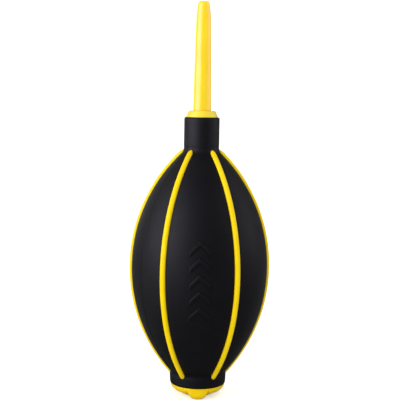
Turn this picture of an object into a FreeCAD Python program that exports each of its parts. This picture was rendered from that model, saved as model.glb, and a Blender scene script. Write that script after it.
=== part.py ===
import FreeCAD, Part
import math
import os
import Sketcher

# Hand dust blower: a hollow silicone squeeze bulb with six inlaid ribs, a neck bush with a
# pull-out nozzle, and an intake valve with a filter behind a push-on base cap with three feet.
# Frame: millimetres, origin on the axis in the plane of the feet, +Z to the nozzle tip.
# The front of the object, between the two front ribs, faces -Y.

doc = FreeCAD.newDocument("dust_blower")
sheet = doc.addObject("Spreadsheet::Sheet", "dims")

DIMENSIONS = [
    # bulb
    ("bulb_r", 31.55),
    ("bulb_arc_r", 74.5),
    ("bulb_mid_z", 60.7),
    ("wall", 3.2),
    ("ring_bottom_z", 5.76),
    ("ring_bottom_r", 12.8),
    ("ring_low_r", 13.02),
    ("ring_low_z", 6.3),
    ("ring_edge", 0.62),
    ("ring_r", 13.22),
    ("ring_top_z", 9.9),
    ("bulb_bottom_z", 11.5),
    ("neck_r", 8.15),
    ("neck_low_r", 8.1),
    ("neck_fillet", 4.0),
    ("neck_blend_z", 117.2),
    ("neck_top_z", 130.4),
    ("neck_edge", 0.6),
    ("neck_bore_r", 5.55),
    ("base_bore_r", 9.2),
    # ribs
    ("rib_r", 1.32),
    ("rib_sink", 0.17),
    ("rib_gap", 0.02),
    ("rib_low_deg", 42.5),
    ("rib_high_deg", 44.9),
    ("rib_foot_len", 1.0),
    ("rib_head_len", 3.2),
    ("rib_plane_deg", 30.15),
    ("rib_aside", 0.8),
    # raised chevrons on the front panel
    ("mark_rise", 0.6),
    ("mark_half_w", 4.9),
    ("mark_arm", 5.0),
    ("mark_thick", 2.6),
    ("mark_low_z", 40.2),
    ("mark_pitch", 7.4),
    ("mark_root_r", 20),
    ("mark_margin", 2),
    # neck bush
    ("plug_r", 5.6),
    ("plug_bottom_z", 116.6),
    ("plug_lead", 0.9),
    ("barb_r", 5.95),
    ("barb_pitch", 4.2),
    ("barb_ramp_z", 2.9),
    ("barb_flat", 0.4),
    ("barb_step", 0.2),
    ("bush_bore_r", 4.19),
    ("bush_lead", 0.3),
    ("bush_seat_r", 2.9),
    ("bush_seat_t", 1.4),
    ("collar_r", 7.3),
    ("collar_band", 0.3),
    ("collar_top_r", 6.1),
    ("collar_top_z", 133.4),
    ("collar_edge", 0.45),
    # nozzle
    ("nozzle_shank_r", 4.15),
    ("nozzle_lead", 0.3),
    ("nozzle_seat_gap", 0.02),
    ("nozzle_bore_r", 2.5),
    ("nozzle_bore_end", 8),
    ("nozzle_mid_r", 3.73),
    ("nozzle_mid_z", 161.7),
    ("nozzle_high_r", 3.44),
    ("nozzle_high_z", 173.2),
    ("nozzle_tip_r", 2.55),
    ("nozzle_tip_drop", 0.55),
    ("nozzle_tip_arc", 23),
    ("nozzle_rim_r", 1.95),
    ("nozzle_rim_arc", 0.95),
    ("nozzle_top_z", 183.0),
    ("orifice_r", 1.1),
    ("orifice_edge", 0.15),
    ("orifice_len", 6.0),
    # intake valve
    ("housing_r", 9.2),
    ("housing_bore_r", 8.0),
    ("housing_bottom_z", 4.66),
    ("housing_top_z", 16.5),
    ("flange_r", 10.9),
    ("housing_barb_r", 9.6),
    ("housing_barb_z", 12.7),
    ("housing_barb_lead", 0.35),
    ("housing_barb_flat", 0.5),
    ("housing_barb_end", 1.5),
    ("housing_lead", 0.5),
    ("plate_z", 12.0),
    ("plate_t", 1.1),
    ("seat_r", 5.7),
    ("seat_w", 0.5),
    ("seat_rise", 0.3),
    ("port_r", 1.15),
    ("port_ring_r", 3.9),
    ("guide_r", 0.9),
    ("guide_gap", 0.08),
    ("guide_lead", 0.3),
    ("boss_w", 1.1),
    ("boss_slope", 0.2),
    ("disc_r", 6.5),
    ("disc_t", 0.8),
    ("disc_edge", 0.15),
    ("seat_gap", 0.01),
    ("cage_z", 15.45),
    ("cage_t", 1.0),
    ("cage_ring_w", 1.0),
    ("cage_hub_r", 2.1),
    ("cage_spoke_w", 1.3),
    ("cage_fit", 0.05),
    # filter
    ("filter_gap", 0.04),
    ("mesh_t", 0.3),
    ("mesh_rim", 0.8),
    ("mesh_wire", 0.4),
    ("mesh_pitch", 1.5),
    ("mesh_reach", 8),
    ("foam_t", 3.2),
    ("filter_ring_t", 1.1),
    ("filter_ring_w", 1.7),
    ("filter_bar_w", 1.4),
    ("filter_bar_reach", 7),
    # base cap
    ("cap_r", 12.6),
    ("cap_gap", 0.04),
    ("cap_band_z", 3.65),
    ("cap_hub_r", 6.0),
    ("cap_hub_z", 0.3),
    ("cap_wall", 1.3),
    ("cap_turn_in", 0.95),
    ("cap_turn_low", 0.45),
    ("cap_turn_high", 0.75),
    ("cap_turn_arc", 1.55),
    ("cap_lip", 0.25),
    ("cap_root_z", 2.5),
    ("skirt_r", 7.9),
    ("skirt_bore_r", 6.3),
    ("skirt_top_z", 7.1),
    ("skirt_lead", 0.3),
    ("seal_r", 0.45),
    ("seal_ring_r", 7.52),
    ("seal_z", 5.9),
    ("seal_groove_r", 7.04),
    ("seal_fit", 0.04),
    ("foot_r", 4.35),
    ("foot_top_z", 5.2),
    ("foot_dip", 0.03),
    ("foot_in_r", 4.9),
    ("foot_in_z", 0.8),
    ("foot_toe", 3.4),
    ("foot_toe_z", 2.6),
    ("foot_toe_arc", 3.55),
    ("intake_r", 0.85),
    ("intake_ring_r", 3.3),
    ("intake_mid_r", 1.2),
    # how far a cutting tool runs past the piece it cuts
    ("overrun", 1),
]
for row, (alias, value) in enumerate(DIMENSIONS, start=1):
    sheet.set("A%d" % row, alias)
    sheet.set("B%d" % row, str(value))
    sheet.setAlias("B%d" % row, alias)
doc.recompute()


def size(expression):
    """Value of an expression of the sheet's dimensions."""
    return float(sheet.evalExpression(expression.replace("dims.", "")))


def in_sheet(expression):
    """The expression with every dimension written as dims.NAME."""
    text = " " + expression + " "
    for alias, _ in DIMENSIONS:
        for before in " (+-*/":
            for after in " )+-*/^":
                text = text.replace(before + alias + after, before + "dims." + alias + after)
    return text.strip()


def origin_plane(body, role):
    for feature in body.Origin.OriginFeatures:
        if feature.Role == role:
            return feature


def make_body(name):
    body = doc.addObject("PartDesign::Body", name)
    body.Label = name
    return body


def closed_sketch(body, name, points, arcs=None, plane="XZ_Plane"):
    """Closed outline through points given as expressions; arcs maps an edge to (radius, side)."""
    arcs = arcs or {}
    sketch = body.newObject("Sketcher::SketchObject", name)
    sketch.AttachmentSupport = [(origin_plane(body, plane), "")]
    sketch.MapMode = "FlatFace"
    flat = [(size(a), size(b)) for a, b in points]
    count = len(points)
    for i in range(count):
        start = flat[i]
        end = flat[(i + 1) % count]
        first = FreeCAD.Vector(start[0], start[1], 0)
        last = FreeCAD.Vector(end[0], end[1], 0)
        if i in arcs:
            radius = size(arcs[i][0])
            side = arcs[i][1]
            half = (last - first) * 0.5
            normal = FreeCAD.Vector(-half.y, half.x, 0)
            normal.normalize()
            rise = math.sqrt(radius ** 2 - half.Length ** 2)
            centre = first + half + normal * (side * rise)
            circle = Part.Circle(centre, FreeCAD.Vector(0, 0, 1), radius)
            turns = [math.atan2(v.y - centre.y, v.x - centre.x) for v in (first, last)]
            if side < 0:
                turns.reverse()
            if turns[1] < turns[0]:
                turns[1] += 2 * math.pi
            sketch.addGeometry(Part.ArcOfCircle(circle, turns[0], turns[1]), False)
        else:
            sketch.addGeometry(Part.LineSegment(first, last), False)
    ends = []
    for i in range(count):
        starts_here = (sketch.Geometry[i].StartPoint - FreeCAD.Vector(*flat[i], 0)).Length < 0.001
        ends.append((1, 2) if starts_here else (2, 1))
    for i in range(count):
        after = (i + 1) % count
        sketch.addConstraint(Sketcher.Constraint("Coincident", i, ends[i][1], after, ends[after][0]))
    for i in range(count):
        corner = ends[i][0]
        for axis, kind, other in ((0, "DistanceX", -2), (1, "DistanceY", -1)):
            if abs(flat[i][axis]) < 1e-9:
                sketch.addConstraint(Sketcher.Constraint("PointOnObject", i, corner, other))
                continue
            index = sketch.addConstraint(
                Sketcher.Constraint(kind, -1, 1, i, corner, flat[i][axis])
            )
            sketch.setExpression("Constraints[%d]" % index, in_sheet(points[i][axis]))
        if i in arcs:
            index = sketch.addConstraint(Sketcher.Constraint("Radius", i, size(arcs[i][0])))
            sketch.setExpression("Constraints[%d]" % index, in_sheet(arcs[i][0]))
    doc.recompute()
    return sketch


def revolved(name, points, arcs=None):
    """Body turned about Z from an outline of (radius, height) expressions."""
    body = make_body(name)
    sketch = closed_sketch(body, name + "_outline", points, arcs)
    turn = body.newObject("PartDesign::Revolution", name + "_turn")
    turn.Profile = sketch
    turn.ReferenceAxis = (sketch, ["V_Axis"])
    turn.Angle = 360
    sketch.Visibility = False
    doc.recompute()
    return body


def bind(feature, **expressions):
    for prop, expression in expressions.items():
        feature.setExpression(prop, in_sheet(expression))


def cylinder(name, radius, height, x="0", y="0", z="0"):
    part = doc.addObject("Part::Cylinder", name)
    bind(part, Radius=radius, Height=height)
    part.setExpression("Placement.Base.x", in_sheet(x))
    part.setExpression("Placement.Base.y", in_sheet(y))
    part.setExpression("Placement.Base.z", in_sheet(z))
    return part


def box(name, length, width, height, x, y, z):
    part = doc.addObject("Part::Box", name)
    bind(part, Length=length, Width=width, Height=height)
    part.setExpression("Placement.Base.x", in_sheet(x))
    part.setExpression("Placement.Base.y", in_sheet(y))
    part.setExpression("Placement.Base.z", in_sheet(z))
    return part


def fused(name, shapes):
    part = doc.addObject("Part::MultiFuse", name)
    part.Shapes = shapes
    part.Refine = False
    doc.recompute()
    return part


def cut(name, base, tool):
    part = doc.addObject("Part::Cut", name)
    part.Base = base
    part.Tool = tool
    part.Refine = False
    doc.recompute()
    return part


# Ribs: a round cord bent to the bulb's arc, half sunk in a groove of the shell. Its lower end runs
# into the base ring and its upper end is drawn out to a point. An azimuth is measured from the
# front (-Y) towards +X. The planes of the front and back ribs run beside the axis, so that these
# ribs stand further apart towards their ends.
ARC_CENTRE_X = "bulb_r - bulb_arc_r"
CORD_ARC_R = "bulb_arc_r - rib_sink"


def cord(name, radius, azimuth, aside):
    """Cord in the upright plane at this azimuth, moved sideways by aside times rib_aside."""
    turn_to_plane = FreeCAD.Rotation(FreeCAD.Vector(1, 0, 0), 90)
    low = size("rib_low_deg")
    high = size("rib_high_deg")
    centre = FreeCAD.Vector(size(ARC_CENTRE_X), 0, size("bulb_mid_z"))
    reach = size(CORD_ARC_R)
    middle = doc.addObject("Part::Torus", name + "_cord")
    bind(middle, Radius1=CORD_ARC_R, Radius2=radius, Angle3="rib_low_deg + rib_high_deg")
    start = FreeCAD.Rotation(FreeCAD.Vector(0, 1, 0), low)
    middle.Placement = FreeCAD.Placement(centre, start.multiply(turn_to_plane))
    pieces = [middle]
    for label, angle, sign, length in (
        ("_foot", -low, -1, "rib_foot_len"),
        ("_head", high, 1, "rib_head_len"),
    ):
        end = doc.addObject("Part::Ellipsoid", name + label)
        bind(end, Radius1=length, Radius2=radius)
        end.Angle1 = 0
        end.Angle2 = 90
        lean = math.radians(angle)
        spot = centre + FreeCAD.Vector(reach * math.cos(lean), 0, reach * math.sin(lean))
        along = FreeCAD.Vector(-math.sin(lean) * sign, 0, math.cos(lean) * sign)
        end.Placement = FreeCAD.Placement(spot, FreeCAD.Rotation(FreeCAD.Vector(0, 0, 1), along))
        pieces.append(end)
    whole = fused(name, pieces)
    turn = FreeCAD.Rotation(FreeCAD.Vector(0, 0, 1), azimuth - 90)
    shift = turn.multVec(FreeCAD.Vector(0, aside * size("rib_aside"), 0))
    whole.Placement = FreeCAD.Placement(shift, turn)
    return whole


rib_plane = size("rib_plane_deg")
RIBS = [
    ("rib_front_left", -rib_plane, -1),
    ("rib_front_right", rib_plane, 1),
    ("rib_left", -90, 0),
    ("rib_right", 90, 0),
    ("rib_back_left", rib_plane - 180, 1),
    ("rib_back_right", 180 - rib_plane, -1),
]
ribs = [cord(name, "rib_r", azimuth, aside) for name, azimuth, aside in RIBS]
groove_cutters = [
    cord(name + "_groove", "rib_r + rib_gap", azimuth, aside) for name, azimuth, aside in RIBS
]

# Bulb shell: base ring, one arc from ring to neck, straight neck; open at both ends.
SHELL_AT = "bulb_r - bulb_arc_r + sqrt(bulb_arc_r^2 - (%s - bulb_mid_z)^2)"
CAVITY_Z = "bulb_mid_z %s sqrt((bulb_arc_r - wall)^2 - (%s - bulb_r + bulb_arc_r)^2)"
FILLET_X = "(neck_low_r + neck_fillet - bulb_r + bulb_arc_r)"
FILLET_UP = "sqrt((bulb_arc_r + neck_fillet)^2 - (neck_low_r + neck_fillet - bulb_r + bulb_arc_r)^2)"
SHARE = "bulb_arc_r / (bulb_arc_r + neck_fillet)"
shell_outline = [
    ("base_bore_r", "ring_bottom_z"),
    ("ring_bottom_r", "ring_bottom_z"),
    ("ring_low_r", "ring_low_z"),
    ("ring_r", "ring_top_z"),
    (SHELL_AT % "bulb_bottom_z", "bulb_bottom_z"),
    ("bulb_r - bulb_arc_r + " + FILLET_X + " * " + SHARE, "bulb_mid_z + " + FILLET_UP + " * " + SHARE),
    ("neck_low_r", "bulb_mid_z + " + FILLET_UP),
    ("neck_r", "neck_blend_z"),
    ("neck_r", "neck_top_z - neck_edge"),
    ("neck_r - neck_edge", "neck_top_z"),
    ("neck_bore_r", "neck_top_z"),
    ("neck_bore_r", CAVITY_Z % ("+", "neck_bore_r")),
    ("base_bore_r", CAVITY_Z % ("-", "base_bore_r")),
]
shell_arcs = {
    1: ("ring_edge", 1),
    4: ("bulb_arc_r", 1),
    5: ("neck_fillet", -1),
    8: ("neck_edge", 1),
    11: ("bulb_arc_r - wall", -1),
}
plain_shell = revolved("plain_shell", shell_outline, shell_arcs)

# Raised chevrons pointing to the nozzle, cut to follow the bulb's surface.
MARK_COUNT = 5
mark_body = make_body("mark_prism")
for step in range(MARK_COUNT):
    low_z = "mark_low_z + %d * mark_pitch" % step
    chevron = [
        ("-mark_half_w", low_z),
        ("0", low_z + " + mark_arm"),
        ("mark_half_w", low_z),
        ("mark_half_w", low_z + " + mark_thick"),
        ("0", low_z + " + mark_arm + mark_thick"),
        ("-mark_half_w", low_z + " + mark_thick"),
    ]
    sketch = closed_sketch(mark_body, "chevron_%d" % step, chevron)
    pad = mark_body.newObject("PartDesign::Pad", "chevron_pad_%d" % step)
    pad.Profile = sketch
    bind(pad, Length="bulb_r + mark_margin")
    sketch.Visibility = False
    doc.recompute()
MARK_ARC = "bulb_arc_r + mark_rise"
MARK_AT = "bulb_r - bulb_arc_r + sqrt((bulb_arc_r + mark_rise)^2 - (%s - bulb_mid_z)^2)"
MARK_LOW = "mark_low_z - mark_margin"
MARK_HIGH = "mark_low_z + %d * mark_pitch + mark_arm + mark_margin" % MARK_COUNT
mark_skin = revolved(
    "mark_skin",
    [
        ("mark_root_r", MARK_LOW),
        (MARK_AT % ("(" + MARK_LOW + ")"), MARK_LOW),
        (MARK_AT % ("(" + MARK_HIGH + ")"), MARK_HIGH),
        ("mark_root_r", MARK_HIGH),
    ],
    {1: (MARK_ARC, 1)},
)
mark = doc.addObject("Part::Common", "mark")
mark.Base = mark_body
mark.Tool = mark_skin
mark.Refine = False
marked_shell = fused("marked_shell", [plain_shell, mark])
grooves = doc.addObject("Part::Compound", "grooves")
grooves.Links = groove_cutters
bulb_shell = cut("bulb_shell", marked_shell, grooves)

# Neck bush: barbed plug in the neck, chamfered collar on top, bore for the nozzle.
BARB = "plug_bottom_z + %d * barb_pitch - barb_pitch + barb_ramp_z"
bush_outline = [
    ("bush_seat_r", "plug_bottom_z"),
    ("plug_r - 0.5 * plug_lead", "plug_bottom_z"),
    ("plug_r", "plug_bottom_z + plug_lead"),
    ("plug_r", "plug_bottom_z + 2 * plug_lead"),
]
for count in (1, 2):
    bush_outline += [
        ("barb_r", BARB % count),
        ("barb_r", BARB % count + " + barb_flat"),
        ("plug_r", BARB % count + " + barb_flat + barb_step"),
    ]
bush_outline += [
    ("plug_r", "neck_top_z"),
    ("collar_r", "neck_top_z"),
    ("collar_r", "neck_top_z + collar_band"),
    ("collar_top_r", "collar_top_z - collar_edge"),
    ("collar_top_r - collar_edge", "collar_top_z"),
    ("bush_bore_r + bush_lead", "collar_top_z"),
    ("bush_bore_r", "collar_top_z - bush_lead"),
    ("bush_bore_r", "plug_bottom_z + bush_seat_t"),
    ("bush_seat_r", "plug_bottom_z + bush_seat_t"),
]
neck_bush = revolved("neck_bush", bush_outline, {13: ("collar_edge", 1)})

# Nozzle: straight shank in the bush, long taper, rounded nose with the air orifice.
SHANK_Z = "plug_bottom_z + bush_seat_t + nozzle_seat_gap"
nozzle_outline = [
    ("nozzle_bore_r", SHANK_Z),
    ("nozzle_shank_r - nozzle_lead", SHANK_Z),
    ("nozzle_shank_r", SHANK_Z + " + 2 * nozzle_lead"),
    ("nozzle_shank_r", "collar_top_z"),
    ("nozzle_mid_r", "nozzle_mid_z"),
    ("nozzle_high_r", "nozzle_high_z"),
    ("nozzle_tip_r", "nozzle_top_z - nozzle_tip_drop"),
    ("nozzle_rim_r", "nozzle_top_z"),
    ("orifice_r + orifice_edge", "nozzle_top_z"),
    ("orifice_r", "nozzle_top_z - orifice_edge"),
    ("orifice_r", "nozzle_top_z - orifice_edge - orifice_len"),
    ("nozzle_bore_r", "nozzle_mid_z - nozzle_bore_end"),
]
nozzle_arcs = {5: ("nozzle_tip_arc", 1), 6: ("nozzle_rim_arc", 1)}
nozzle = revolved("nozzle", nozzle_outline, nozzle_arcs)

# Valve housing: flanged tube in the base ring, with the valve plate, its seats and a guide pin.
housing_body = revolved(
    "housing_turned",
    [
        ("0", "plate_z"),
        ("housing_bore_r", "plate_z"),
        ("housing_bore_r", "housing_bottom_z"),
        ("flange_r", "housing_bottom_z"),
        ("flange_r", "ring_bottom_z"),
        ("housing_r", "ring_bottom_z"),
        ("housing_r", "housing_barb_z - housing_barb_lead"),
        ("housing_barb_r", "housing_barb_z"),
        ("housing_barb_r", "housing_barb_z + housing_barb_flat"),
        ("housing_r", "housing_barb_z + housing_barb_end"),
        ("housing_r", "housing_top_z - housing_lead"),
        ("housing_r - housing_lead", "housing_top_z"),
        ("housing_bore_r", "housing_top_z"),
        ("housing_bore_r", "plate_z + plate_t"),
        ("seat_r + seat_w", "plate_z + plate_t"),
        ("seat_r + seat_w", "plate_z + plate_t + seat_rise"),
        ("seat_r", "plate_z + plate_t + seat_rise"),
        ("seat_r", "plate_z + plate_t"),
        ("guide_r + boss_w + boss_slope", "plate_z + plate_t"),
        ("guide_r + boss_w", "plate_z + plate_t + seat_rise"),
        ("guide_r", "plate_z + plate_t + seat_rise"),
        ("guide_r", "housing_top_z - guide_lead"),
        ("guide_r - guide_lead", "housing_top_z"),
        ("0", "housing_top_z"),
    ],
)


def ring_of(name, count, radius, ring_radius, low_z, height):
    """Upright cylinders spaced evenly round the axis, as one cutting tool."""
    pieces = []
    for i in range(count):
        pin = doc.addObject("Part::Cylinder", "%s_%d" % (name, i))
        bind(pin, Radius=radius, Height=height)
        turn = FreeCAD.Rotation(FreeCAD.Vector(0, 0, 1), 360 * i / count)
        spot = turn.multVec(FreeCAD.Vector(size(ring_radius), 0, size(low_z)))
        pin.Placement = FreeCAD.Placement(spot, turn)
        pieces.append(pin)
    group = doc.addObject("Part::Compound", name)
    group.Links = pieces
    return group


HOLE_COUNT = 6
ports = ring_of(
    "ports", HOLE_COUNT, "port_r", "port_ring_r", "plate_z - overrun", "plate_t + 2 * overrun"
)
valve_housing = cut("valve_housing", housing_body, ports)

# Valve disc: flat silicone ring that lifts off the seats along the guide pin.
DISC_Z = "plate_z + plate_t + seat_rise + seat_gap"
valve_disc = revolved(
    "valve_disc",
    [
        ("guide_r + guide_gap", DISC_Z),
        ("disc_r - disc_edge", DISC_Z),
        ("disc_r", DISC_Z + " + disc_edge"),
        ("disc_r", DISC_Z + " + disc_t - disc_edge"),
        ("disc_r - disc_edge", DISC_Z + " + disc_t"),
        ("guide_r + guide_gap", DISC_Z + " + disc_t"),
    ],
)

# Valve cage: ring, three spokes and a hub above the disc.
cage_ring = cut(
    "cage_ring",
    cylinder("cage_ring_outer", "housing_bore_r", "cage_t", z="cage_z"),
    cylinder(
        "cage_ring_inner", "housing_bore_r - cage_ring_w", "cage_t + 2 * overrun", z="cage_z - overrun"
    ),
)
SPOKE_COUNT = 3
spokes = []
for i in range(SPOKE_COUNT):
    spoke = doc.addObject("Part::Box", "cage_spoke_%d" % i)
    bind(spoke, Length="housing_bore_r - 0.5 * cage_ring_w", Width="cage_spoke_w", Height="cage_t")
    turn = FreeCAD.Rotation(FreeCAD.Vector(0, 0, 1), 90 + 360 * i / SPOKE_COUNT)
    spot = turn.multVec(FreeCAD.Vector(0, -size("cage_spoke_w") / 2, size("cage_z")))
    spoke.Placement = FreeCAD.Placement(spot, turn)
    spokes.append(spoke)
cage_hub = cylinder("cage_hub", "cage_hub_r", "cage_t", z="cage_z")
cage_solid = fused("cage_solid", [cage_ring, cage_hub] + spokes)
valve_cage = cut(
    "valve_cage",
    cage_solid,
    cylinder("cage_guide_hole", "guide_r + cage_fit", "cage_t + 2 * overrun", z="cage_z - overrun"),
)

# Filter stack below the plate: support grid, foam pad, snap-in retaining ring.
FILTER_R = "housing_bore_r - filter_gap"
MESH_Z = "plate_z - mesh_t"
FOAM_Z = "plate_z - mesh_t - foam_t"
RING_Z = "plate_z - mesh_t - foam_t - filter_ring_t"
mesh_rim = cut(
    "mesh_rim_ring",
    cylinder("mesh_rim_outer", FILTER_R, "mesh_t", z=MESH_Z),
    cylinder(
        "mesh_rim_inner", FILTER_R + " - mesh_rim", "mesh_t + 2 * overrun", z=MESH_Z + " - overrun"
    ),
)
WIRE_COUNT = 9
MESH_SPAN = "2 * mesh_reach"
wires = []
for i in range(WIRE_COUNT):
    middle = "%d * mesh_pitch - 0.5 * mesh_wire" % (i - WIRE_COUNT // 2)
    wires.append(box("wire_x_%d" % i, MESH_SPAN, "mesh_wire", "mesh_t", "-mesh_reach", middle, MESH_Z))
    wires.append(box("wire_y_%d" % i, "mesh_wire", MESH_SPAN, "mesh_t", middle, "-mesh_reach", MESH_Z))
wire_grid = fused("wire_grid", wires)
round_grid = doc.addObject("Part::Common", "round_grid")
round_grid.Base = wire_grid
round_grid.Tool = cylinder("grid_limit", FILTER_R + " - 0.5 * mesh_rim", "mesh_t", z=MESH_Z)
round_grid.Refine = False
filter_mesh = fused("filter_mesh", [mesh_rim, round_grid])

filter_foam = cylinder("filter_foam", FILTER_R, "foam_t", z=FOAM_Z)

retainer_rim = cut(
    "retainer_rim",
    cylinder("retainer_outer", FILTER_R, "filter_ring_t", z=RING_Z),
    cylinder(
        "retainer_inner",
        FILTER_R + " - filter_ring_w",
        "filter_ring_t + 2 * overrun",
        z=RING_Z + " - overrun",
    ),
)
BAR_SPAN = "2 * filter_bar_reach"
BAR_END = "-filter_bar_reach"
BAR_SIDE = "-0.5 * filter_bar_w"
bar_x = box("retainer_bar_x", BAR_SPAN, "filter_bar_w", "filter_ring_t", BAR_END, BAR_SIDE, RING_Z)
bar_y = box("retainer_bar_y", "filter_bar_w", BAR_SPAN, "filter_ring_t", BAR_SIDE, BAR_END, RING_Z)
filter_ring = fused("filter_ring", [retainer_rim, bar_x, bar_y])

# Base cap: shallow dish under the base ring, inner skirt with a seal groove, three feet.
cap_turned = revolved(
    "cap_turned",
    [
        ("0", "cap_hub_z"),
        ("cap_hub_r", "cap_hub_z"),
        ("cap_r - cap_turn_in", "cap_band_z - cap_turn_low"),
        ("cap_r", "cap_band_z + cap_turn_high"),
        ("cap_r", "ring_bottom_z - cap_gap - cap_lip"),
        ("cap_r - cap_lip", "ring_bottom_z - cap_gap"),
        ("cap_r - cap_wall", "ring_bottom_z - cap_gap"),
        ("cap_r - cap_wall", "cap_band_z + cap_turn_high"),
        ("skirt_r", "cap_root_z"),
        ("skirt_r", "seal_z - seal_r - seal_fit"),
        ("seal_groove_r", "seal_z - seal_r - seal_fit"),
        ("seal_groove_r", "seal_z + seal_r + seal_fit"),
        ("skirt_r", "seal_z + seal_r + seal_fit"),
        ("skirt_r", "skirt_top_z - skirt_lead"),
        ("skirt_r - skirt_lead", "skirt_top_z"),
        ("skirt_bore_r", "skirt_top_z"),
        ("skirt_bore_r", "cap_hub_z + cap_wall"),
        ("0", "cap_hub_z + cap_wall"),
    ],
    {2: ("cap_turn_arc", 1)},
)
foot_limit = revolved(
    "foot_limit",
    [
        ("foot_in_r", "0"),
        ("cap_r - foot_toe", "0"),
        ("cap_r", "foot_toe_z"),
        ("cap_r", "foot_top_z"),
        ("cap_r - cap_wall", "foot_top_z"),
        ("cap_r - cap_wall", "cap_band_z"),
        ("foot_in_r", "foot_in_z"),
    ],
    {1: ("foot_toe_arc", 1)},
)
FOOT_COUNT = 3
foot_bars = []
for i in range(FOOT_COUNT):
    bar = doc.addObject("Part::Cylinder", "foot_bar_%d" % i)
    bind(bar, Radius="foot_r", Height="cap_r + overrun")
    turn = FreeCAD.Rotation(FreeCAD.Vector(0, 0, 1), -90 + 360 * i / FOOT_COUNT)
    lay = FreeCAD.Rotation(FreeCAD.Vector(0, 1, 0), 90)
    axis_at = FreeCAD.Vector(0, 0, size("foot_r - foot_dip"))
    bar.Placement = FreeCAD.Placement(axis_at, turn.multiply(lay))
    foot_bars.append(bar)
bars = doc.addObject("Part::Compound", "foot_bars")
bars.Links = foot_bars
feet = doc.addObject("Part::Common", "feet")
feet.Base = foot_limit
feet.Tool = bars
feet.Refine = False
doc.recompute()
cap_solid = fused("cap_solid", [cap_turned, feet])
INTAKE_Z = "cap_hub_z - overrun"
INTAKE_LEN = "cap_wall + 2 * overrun"
outer_intakes = ring_of("outer_intakes", HOLE_COUNT, "intake_r", "intake_ring_r", INTAKE_Z, INTAKE_LEN)
middle_intake = cylinder("middle_intake", "intake_mid_r", INTAKE_LEN, z=INTAKE_Z)
intakes = doc.addObject("Part::Compound", "intakes")
intakes.Links = [outer_intakes, middle_intake]
base_cap = cut("base_cap", cap_solid, intakes)

cap_seal = doc.addObject("Part::Torus", "cap_seal")
bind(cap_seal, Radius1="seal_ring_r", Radius2="seal_r")
cap_seal.setExpression("Placement.Base.z", in_sheet("seal_z"))

doc.recompute()

NODES = [
    ("bulb_shell", bulb_shell),
    ("rib_front_left", ribs[0]),
    ("rib_front_right", ribs[1]),
    ("rib_left", ribs[2]),
    ("rib_right", ribs[3]),
    ("rib_back_left", ribs[4]),
    ("rib_back_right", ribs[5]),
    ("neck_bush", neck_bush),
    ("nozzle", nozzle),
    ("valve_housing", valve_housing),
    ("valve_disc", valve_disc),
    ("valve_cage", valve_cage),
    ("filter_mesh", filter_mesh),
    ("filter_foam", filter_foam),
    ("filter_ring", filter_ring),
    ("base_cap", base_cap),
    ("cap_seal", cap_seal),
]

for item in doc.Objects:
    state = [s for s in item.State if s in ("Invalid", "Error")]
    if state:
        raise RuntimeError("%s is %s" % (item.Name, state))

os.makedirs("parts", exist_ok=True)
for label, item in NODES:
    item.Label = label
    shape = item.Shape
    if shape.isNull() or not shape.isValid():
        raise RuntimeError("%s has no valid shape" % label)
    if len(shape.Solids) != 1:
        raise RuntimeError("%s has %d solids" % (label, len(shape.Solids)))
    shape.exportStep("parts/%s.step" % label)
    print(label, "volume mm3", round(shape.Volume, 2))
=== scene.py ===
import math

import bmesh
import bpy
import numpy as np
from mathutils import Matrix, Vector


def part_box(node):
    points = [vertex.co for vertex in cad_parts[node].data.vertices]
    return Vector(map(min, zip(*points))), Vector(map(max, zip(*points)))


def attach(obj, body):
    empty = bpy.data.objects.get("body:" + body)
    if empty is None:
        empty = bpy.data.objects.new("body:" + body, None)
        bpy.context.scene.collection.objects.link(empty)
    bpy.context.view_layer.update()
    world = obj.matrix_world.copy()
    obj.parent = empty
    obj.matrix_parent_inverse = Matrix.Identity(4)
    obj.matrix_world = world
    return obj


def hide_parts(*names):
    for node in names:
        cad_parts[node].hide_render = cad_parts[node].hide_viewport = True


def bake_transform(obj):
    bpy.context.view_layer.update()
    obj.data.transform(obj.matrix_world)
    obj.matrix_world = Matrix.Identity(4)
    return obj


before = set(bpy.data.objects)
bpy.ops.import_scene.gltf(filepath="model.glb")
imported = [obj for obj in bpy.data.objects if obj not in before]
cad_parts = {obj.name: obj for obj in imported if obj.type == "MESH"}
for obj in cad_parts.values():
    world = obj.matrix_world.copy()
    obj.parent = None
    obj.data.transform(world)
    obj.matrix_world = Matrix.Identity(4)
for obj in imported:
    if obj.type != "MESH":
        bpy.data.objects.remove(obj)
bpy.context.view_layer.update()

# Dust blower bulb. Outlines are in millimetres as (radius, height), turned into metres when a
# mesh is made. An azimuth is counted from the front (-Y) towards +X. A lean is the angle of a
# place on the arc of the bulb's side, in radians above the widest place.
MM = 0.001
TINY = 1e-6  # a smaller radius or girth counts as a point


def low(node):
    """Height of the lowest place of a piece of the frame, in mm."""
    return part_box(node)[0][2] / MM


def high(node):
    """Height of the highest place of a piece of the frame, in mm."""
    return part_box(node)[1][2] / MM


# heights given by the frame
RING_Z = low("bulb_shell")
NECK_TOP = high("bulb_shell")
COLLAR_TOP = high("neck_bush")
PLUG_Z = low("neck_bush")
SHANK_Z = low("nozzle")
TIP_Z = high("nozzle")

# bulb: the side is an arc whose centre lies beyond the axis, so its radius there is negative
BODY_R = 31.55
MID_Z = 60.7
ARC_R = 74.5
AXIS_R = BODY_R - ARC_R
WALL = 3.2
BASE_BORE = 9.2

# neck
NECK_R = 8.15
NECK_LOW_R = 8.1
NECK_BLEND_Z = 117.2
NECK_BORE = 5.55
NECK_FILLET = 4.0

# ribs: round cords, sunk a little into the wall, with drawn-out ends
CORD_R = 1.32
CORD_SINK = 0.17
CORD_LOW = math.radians(-42.5)
CORD_HIGH = math.radians(44.9)
CORD_FOOT = 1.0
CORD_HEAD = 3.2

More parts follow.
